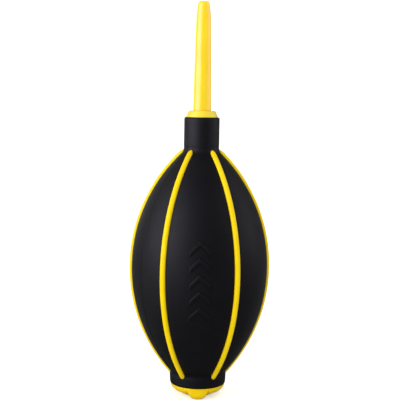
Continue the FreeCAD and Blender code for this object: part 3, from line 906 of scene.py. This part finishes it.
shank = outline([(NOZZLE_BORE, SHANK_Z, 0.1), (3.85, SHANK_Z, 0.1), (SHANK_R, SHANK_Z + 0.6, 0.4)])
taper = smooth_curve(
    [
        (SHANK_R, 133.5),
        (3.96, 147.2),
        (3.73, 161.7),
        (3.52, 169.2),
        (3.40, 174.3),
        (3.16, 178.2),
        (2.76, 181.5),
    ],
    7,
)
crown = [(2.57, 182.25), (2.28, 182.7), (1.96, 182.93), (1.60, TIP_Z), (1.30, TIP_Z - 0.01)]
bore = [
    (1.14, TIP_Z - 0.1),
    (ORIFICE_R, TIP_Z - 0.3),
    (ORIFICE_R, ORIFICE_Z),
    (NOZZLE_BORE, NOZZLE_BORE_TOP),
]
nozzle_points = split_long(shank + taper + crown + bore, 2.0)
nozzle = turned("nozzle_tube", nozzle_points, NOZZLE, segments=128, crease=40)
show(nozzle, "nozzle", "nozzle")

# ---------------------------------------------------------------- base cap with three feet
CAP_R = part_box("base_cap")[1][0] / MM
CAP_TOP = RING_Z - 0.04
CAP_COLUMNS = 432
CAP_CREASE = 38

# the underside rises from the hub in a shallow cone that would meet the cap's edge at BAND_Z
HUB_R = 6.0
HUB_Z = 0.3
BAND_Z = 3.65
HUB_BLEND = 0.35
DISH_SLOPE = (BAND_Z - HUB_Z) / (CAP_R - HUB_R)
EDGE_FILLET = 2.2
EDGE_UP = 0.85 * EDGE_FILLET
BAND_LEAST = 0.5
RIM_SOFT = 0.28

# A foot's section is a little fuller than a half circle, with a narrow flat to stand on. It
# starts beside the axis, is level between two distances from it, and curves up before and after.
FOOT_AZ = [0, 120, 240]
FOOT_R = 4.45
FOOT_POWER = 2.4
FOOT_FLAT = 0.03
FOOT_START = 2.0
FOOT_BLEND = 0.25
FOOT_LEVEL = (7.6, 8.9)
FOOT_CURVE = 0.12

# inside: a hollow behind the rim, a skirt with a bed for the seal, and the cup within it
RIM_R = CAP_R - 1.3
SKIRT_R = 7.9
SKIRT_TOP = 7.1
SEAL_BED_R = 7.04
SEAL_BED = (5.41, 6.39)
CUP_R = 6.3
CUP_FLOOR = 1.6

INTAKE_MIDDLE_R = 1.2
INTAKE_R = 0.85
INTAKE_CIRCLE_R = 3.3


def soft_min(a, b, width):
    """The smaller of two values, with a rounded change from one to the other."""
    h = max(0.0, min(1.0, 0.5 + 0.5 * (b - a) / width))
    return b * (1 - h) + a * h - width * h * (1 - h)


def under_side(radius, azimuth):
    """Height of the cap's underside: hub, cone, and the feet running out from it."""
    dish = HUB_Z + DISH_SLOPE * (radius - HUB_R)
    z = -soft_min(-dish, -HUB_Z, HUB_BLEND)
    gap = min(surface_gap(azimuth, 1.0, math.radians(f)) for f in FOOT_AZ)
    across = radius * math.sin(min(gap, math.pi / 2))
    along = radius * math.cos(min(gap, math.pi / 2))
    if across < FOOT_R - 0.02 and along > FOOT_START:
        flank = (FOOT_R ** FOOT_POWER - across ** FOOT_POWER) ** (1 / FOOT_POWER)
        foot = max(0.0, FOOT_R - FOOT_FLAT - flank)
        foot += FOOT_CURVE * max(0.0, FOOT_LEVEL[0] - along) ** 2
        foot += FOOT_CURVE * max(0.0, along - FOOT_LEVEL[1]) ** 2
        z = soft_min(z, foot, FOOT_BLEND)
    return max(0.0, z)


def cap_outer(azimuth, floor_steps=34, edge_steps=12, band_steps=5):
    """One radial outline of the cap's outside, from beside the hub's middle to the band's top."""
    points = []
    for k in range(1, floor_steps + 1):
        r = (CAP_R - EDGE_FILLET) * k / floor_steps
        points.append((r, under_side(r, azimuth)))
    # the edge between underside and band is a curve pulled towards the corner where they meet
    start = points[-1]
    slope = (start[1] - points[-2][1]) / (start[0] - points[-2][0])
    corner = (CAP_R, start[1] + slope * EDGE_FILLET)
    band_z = min(corner[1] + EDGE_UP, CAP_TOP - BAND_LEAST)
    end = (CAP_R, band_z)
    for k in range(1, edge_steps + 1):
        t = k / edge_steps
        a, b, c = (1 - t) ** 2, 2 * t * (1 - t), t * t
        points.append(tuple(a * start[i] + b * corner[i] + c * end[i] for i in range(2)))
    for k in range(1, band_steps + 1):
        points.append((CAP_R, band_z + (CAP_TOP - RIM_SOFT - band_z) * k / band_steps))
    points += [(CAP_R - 0.08, CAP_TOP - 0.1), (CAP_R - 0.26, CAP_TOP)]
    return points


def make_cap():
    inside = outline(
        [
            (RIM_R, CAP_TOP, 0.1),
            (RIM_R, 4.4, 0.5),
            (SKIRT_R, 2.5, 0.3),
            (SKIRT_R, SEAL_BED[0], 0),
            (SEAL_BED_R, SEAL_BED[0], 0),
            (SEAL_BED_R, SEAL_BED[1], 0),
            (SKIRT_R, SEAL_BED[1], 0),
            (SKIRT_R, SKIRT_TOP, 0.25),
            (CUP_R, SKIRT_TOP, 0.2),
            (CUP_R, CUP_FLOOR, 0.3),
        ]
    )
    turns = full_turn(CAP_COLUMNS)
    columns = [cap_outer(a) + inside for a in turns]
    verts = [(0.0, 0.0, HUB_Z * MM)]
    rings = [[0]]
    for i in range(len(columns[0])):
        ring = []
        for a, column in zip(turns, columns):
            r, z = column[i]
            verts.append(polar(r, a, z))
            ring.append(len(verts) - 1)
        rings.append(ring)
    verts.append((0.0, 0.0, CUP_FLOOR * MM))
    rings.append([len(verts) - 1])
    return make_piece("cap_with_feet", verts, join_rings(rings), CAP, crease=CAP_CREASE)


def pierce(obj, holes):
    """Cuts upright round holes (x, y, radius) through the piece's floor."""
    tool = bpy.data.meshes.new("holes")
    bm = bmesh.new()
    for x, y, radius in holes:
        bmesh.ops.create_cone(
            bm, cap_ends=True, segments=40, radius1=radius * MM, radius2=radius * MM,
            depth=6 * MM, matrix=Matrix.Translation((x * MM, y * MM, 1.0 * MM)),
        )
    bm.to_mesh(tool)
    bm.free()
    cutter = bpy.data.objects.new("holes", tool)
    bpy.context.scene.collection.objects.link(cutter)
    mod = obj.modifiers.new("holes", "BOOLEAN")
    mod.operation = "DIFFERENCE"
    mod.solver = "EXACT"
    mod.object = cutter
    bpy.context.view_layer.update()
    result = obj.evaluated_get(bpy.context.evaluated_depsgraph_get())
    done = bpy.data.meshes.new_from_object(result)
    obj.modifiers.clear()
    obj.data = done
    done.set_sharp_from_angle(angle=math.radians(CAP_CREASE))
    bpy.data.objects.remove(cutter)


cap = make_cap()
intake = [(0.0, 0.0, INTAKE_MIDDLE_R)]
for t in full_turn(6):
    intake.append((INTAKE_CIRCLE_R * math.cos(t), INTAKE_CIRCLE_R * math.sin(t), INTAKE_R))
pierce(cap, intake)
show(cap, "base_cap", "cap")

# ---------------------------------------------------------------- inside the base
SEAL_Z = (low("cap_seal") + high("cap_seal")) / 2
SEAL_R = 7.52
SEAL_WIRE_R = 0.45
DISC_R = 6.5
DISC_HOLE_R = 0.98
PAD_R = 7.94

seal_outline = [
    (SEAL_R + SEAL_WIRE_R * math.cos(t), SEAL_Z + SEAL_WIRE_R * math.sin(t)) for t in full_turn(20)
]
seal = turned("o_ring", seal_outline, SEAL, segments=120, crease=80)
show(seal, "cap_seal", "cap")

disc_low = low("valve_disc")
disc_high = high("valve_disc")
disc_outline = outline(
    [
        (DISC_HOLE_R, disc_low, 0.05),
        (DISC_R, disc_low, 0.18),
        (DISC_R, disc_high, 0.18),
        (DISC_HOLE_R, disc_high, 0.12),
    ]
)
disc = turned("flap_disc", disc_outline, CLEAR_RUBBER, segments=120)
show(disc, "valve_disc", "disc")

pad_low = low("filter_foam")
pad_high = high("filter_foam")
pad_outline = outline(
    [(0, pad_low, 0), (PAD_R, pad_low, 0.6), (PAD_R, pad_high, 0.5), (0, pad_high, 0)]
)


def uneven_edge(azimuth, r, z):
    """A cut foam edge: slightly wavy, and a little inside the pad's full radius."""
    if r <= 7.5:
        return 0.0
    return 0.05 * (math.sin(5 * azimuth + z) + math.sin(11 * azimuth - 2 * z)) - 0.1


pad_points = split_long(pad_outline, 0.5)
pad = turned("foam_pad", pad_points, FOAM, segments=120, crease=40, swell=uneven_edge)
show(pad, "filter_foam", "base")

# small hard parts inside, shown by the frame's own solids
for node, material in (
    ("valve_housing", HOUSING),
    ("valve_cage", HOUSING),
    ("filter_ring", HOUSING),
    ("filter_mesh", GRID),
):
    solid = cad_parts[node].data
    solid.materials.clear()
    solid.materials.append(material)

# ---------------------------------------------------------------- floor, light, camera (metres)
FLOOR_HALF_W = 3.0
FLOOR_FRONT = -2.0
SWEEP_Y = 1.1
SWEEP_R = 0.7
SWEEP_ROWS = 16
BACKDROP_TOP = 3.2
FLOOR_Z = -0.00005


def sweep_floor():
    """Floor a hair below the feet that curves up into a backdrop behind the object."""
    profile = [(FLOOR_FRONT, 0.0), (SWEEP_Y, 0.0)]
    for k in range(1, SWEEP_ROWS + 1):
        t = math.pi / 2 * k / SWEEP_ROWS
        profile.append((SWEEP_Y + SWEEP_R * math.sin(t), SWEEP_R - SWEEP_R * math.cos(t)))
    profile.append((SWEEP_Y + SWEEP_R, BACKDROP_TOP))
    verts = []
    for y, z in profile:
        verts += [(-FLOOR_HALF_W, y, z + FLOOR_Z), (FLOOR_HALF_W, y, z + FLOOR_Z)]
    faces = [(2 * i, 2 * i + 1, 2 * i + 3, 2 * i + 2) for i in range(len(profile) - 1)]
    mesh = bpy.data.meshes.new("floor")
    mesh.from_pydata(verts, [], faces)
    mesh.shade_smooth()
    mesh.materials.append(floor_paper())
    obj = bpy.data.objects.new("floor", mesh)
    bpy.context.scene.collection.objects.link(obj)
    return obj


# The floor goes down with the cap, so that a cap drawn off downwards stays in sight on it.
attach(sweep_floor(), "cap")

AIM = Vector((0, 0, 0.09))


def softbox(name, azimuth, height, distance, width, tall, radiance, use):
    """Rectangular lamp aimed at the bulb. use is "gloss" or "diffuse": it shows only in
    reflections, or only lights matt surfaces."""
    lamp = bpy.data.lights.new(name, "AREA")
    lamp.shape = "RECTANGLE"
    lamp.size = width
    lamp.size_y = tall
    lamp.energy = radiance * math.pi * width * tall
    obj = bpy.data.objects.new(name, lamp)
    a = math.radians(azimuth)
    obj.location = (distance * math.sin(a), -distance * math.cos(a), height)
    obj.rotation_euler = (AIM - obj.location).to_track_quat("-Z", "Y").to_euler()
    obj.visible_diffuse = use == "diffuse"
    obj.visible_glossy = use == "gloss"
    bpy.context.scene.collection.objects.link(obj)


# name, azimuth, height, distance, width, height of the lamp, radiance, use
softbox("strip_left", -63, 0.34, 0.90, 1.25, 0.90, 4.6, "gloss")
softbox("strip_right", 88, 0.46, 0.90, 1.10, 0.85, 1.6, "gloss")
softbox("strip_behind", -150, 0.30, 0.90, 0.70, 0.80, 0.5, "gloss")
softbox("soft_left", -60, 0.40, 1.00, 0.70, 0.90, 2.3, "diffuse")
softbox("soft_low", -35, 0.06, 0.60, 0.50, 0.12, 2.0, "diffuse")
softbox("soft_top", 20, 1.20, 0.50, 0.90, 0.90, 0.6, "diffuse")
softbox("soft_behind", 165, 0.35, 1.00, 0.80, 0.80, 1.6, "diffuse")

# the surroundings are white to the camera, dim in reflections and nearly white to the rest
WORLD_STRENGTH = 0.85
WORLD_IN_REFLECTIONS = 0.13
world = bpy.data.worlds.new("studio")
bpy.context.scene.world = world
world.use_nodes = True
tree = world.node_tree
tree.nodes.clear()
world_out = tree.nodes.new("ShaderNodeOutputWorld")
lit = tree.nodes.new("ShaderNodeBackground")
path = tree.nodes.new("ShaderNodeLightPath")
gloss_part = tree.nodes.new("ShaderNodeMapRange")
gloss_part.inputs["To Min"].default_value = WORLD_STRENGTH
gloss_part.inputs["To Max"].default_value = WORLD_IN_REFLECTIONS
tree.links.new(path.outputs["Is Glossy Ray"], gloss_part.inputs["Value"])
seen = tree.nodes.new("ShaderNodeMath")
seen.operation = "MAXIMUM"
tree.links.new(path.outputs["Is Camera Ray"], seen.inputs[0])
tree.links.new(gloss_part.outputs["Result"], seen.inputs[1])
lit.inputs["Color"].default_value = (1, 1, 1, 1)
tree.links.new(seen.outputs[0], lit.inputs["Strength"])
tree.links.new(lit.outputs[0], world_out.inputs["Surface"])

# The camera stands in front, a little above and to the left, and is turned by a small lean.
TARGET = Vector((0, 0, 0.0921))
DISTANCE = 0.4642
ELEVATION = math.radians(6.17)
LEAN = math.radians(0.98)
AZIMUTH = math.radians(-0.7)
lens = bpy.data.cameras.new("camera")
lens.lens = 90
lens.sensor_width = 36
lens.shift_x = -0.0015
lens.clip_start = 0.01
lens.clip_end = 20
camera = bpy.data.objects.new("camera", lens)
level = Vector((math.sin(AZIMUTH), -math.cos(AZIMUTH), 0))
above = Vector((0, 0, math.sin(ELEVATION)))
camera.location = TARGET + DISTANCE * (level * math.cos(ELEVATION) + above)
look = (TARGET - camera.location).to_track_quat("-Z", "Y").to_matrix().to_4x4()
turn = Matrix.Rotation(LEAN, 4, "Z")
camera.matrix_world = Matrix.Translation(camera.location) @ look @ turn
bpy.context.scene.collection.objects.link(camera)
bpy.context.scene.camera = camera
bpy.context.scene.view_settings.view_transform = "Standard"

bpy.context.view_layer.update()
